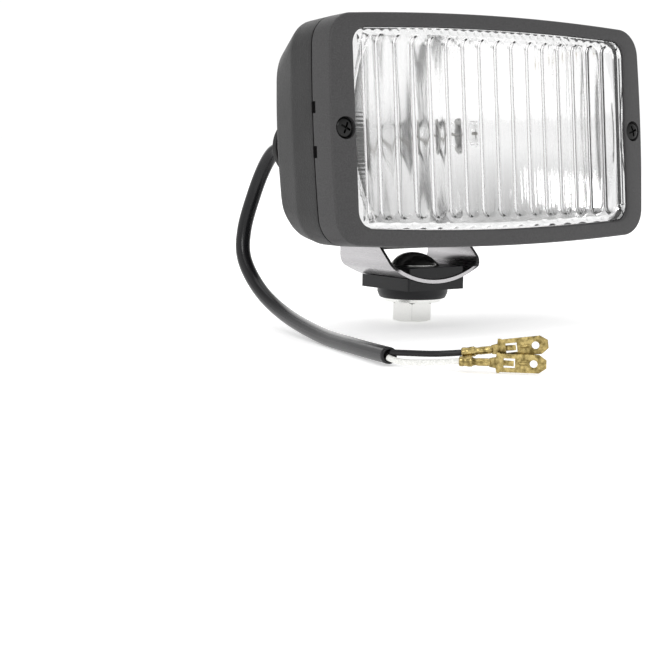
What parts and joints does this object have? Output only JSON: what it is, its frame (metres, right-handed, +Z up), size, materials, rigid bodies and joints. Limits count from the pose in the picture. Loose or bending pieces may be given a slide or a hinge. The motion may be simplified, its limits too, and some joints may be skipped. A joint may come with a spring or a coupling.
{
  "type": "rectangular fog light",
  "caption": "Rectangular fog lamp with fluted glass lens, black housing, tilting steel strap bracket on curved saddles, and a short cable with blade terminals.",
  "frame": {"origin": "on the mounting bolt's axis, at the underside of the lower saddle, which rests on the bumper or bar", "axes": "+X along the lamp's width to the right as seen from the front, the lens faces -Y, +Z up along the mounting bolt"},
  "size_m": [0.186, 0.1801, 0.1269],
  "materials": {
    "frame_plastic": "matte, very fine grain",
    "housing_plastic": "matte, moulded grain",
    "saddle_plastic": "satin",
    "lens_glass": "clear, fluted",
    "seal_rubber": "matte",
    "black_screw": "black satin",
    "reflector_metal": "mirror bright",
    "bulb_glass": "clear",
    "filament": "wound wire",
    "bulb_metal": "satin",
    "connector_plastic": "matte",
    "black_insulation": "semi-gloss",
    "white_insulation": "semi-gloss",
    "sheath_pvc": "semi-gloss",
    "membrane": "matte",
    "terminal_brass": "stamped, bright",
    "stainless": "satin",
    "zinc_steel": "bright zinc"
  },
  "bodies": {
    "fixing": {"lower_saddle": "saddle_plastic", "upper_saddle": "saddle_plastic", "carriage_bolt": "zinc_steel", "flat_washer": "zinc_steel", "hex_nut": "zinc_steel"},
    "bracket": {"bracket": "stainless"},
    "head": {"front_frame": "frame_plastic", "lens": "lens_glass", "lens_seal": "seal_rubber", "frame_screws": "black_screw", "reflector": "reflector_metal", "bulb_glass": "bulb_glass", "bulb_filament": "filament", "bulb_base": "bulb_metal", "bulb_clip": "bulb_metal", "bulb_connector": "connector_plastic", "live_lead": "black_insulation", "ground_lead": "white_insulation", "rear_housing": "housing_plastic", "pivot_nuts": "zinc_steel", "pivot_bolts": "zinc_steel", "vent_boss_ring": "seal_rubber", "vent_cap": "housing_plastic", "vent_membrane": "membrane", "cable_grommet": "seal_rubber", "cable_sheath": "sheath_pvc", "wire_black": "black_insulation", "wire_white": "white_insulation", "terminal_black": "terminal_brass", "terminal_white": "terminal_brass"}
  },
  "joints": [
    {"name": "roll_aim", "type": "hinge", "parent": "fixing", "child": "bracket", "pos_m": [0, 0, 0.0531], "axis": [0, 1, 0], "range_deg": [-5, 5]},
    {"name": "tilt_aim", "type": "hinge", "parent": "bracket", "child": "head", "pos_m": [0, 0.0075, 0.0306], "axis": [1, 0, 0], "range_deg": [-30, 12]}
  ]
}
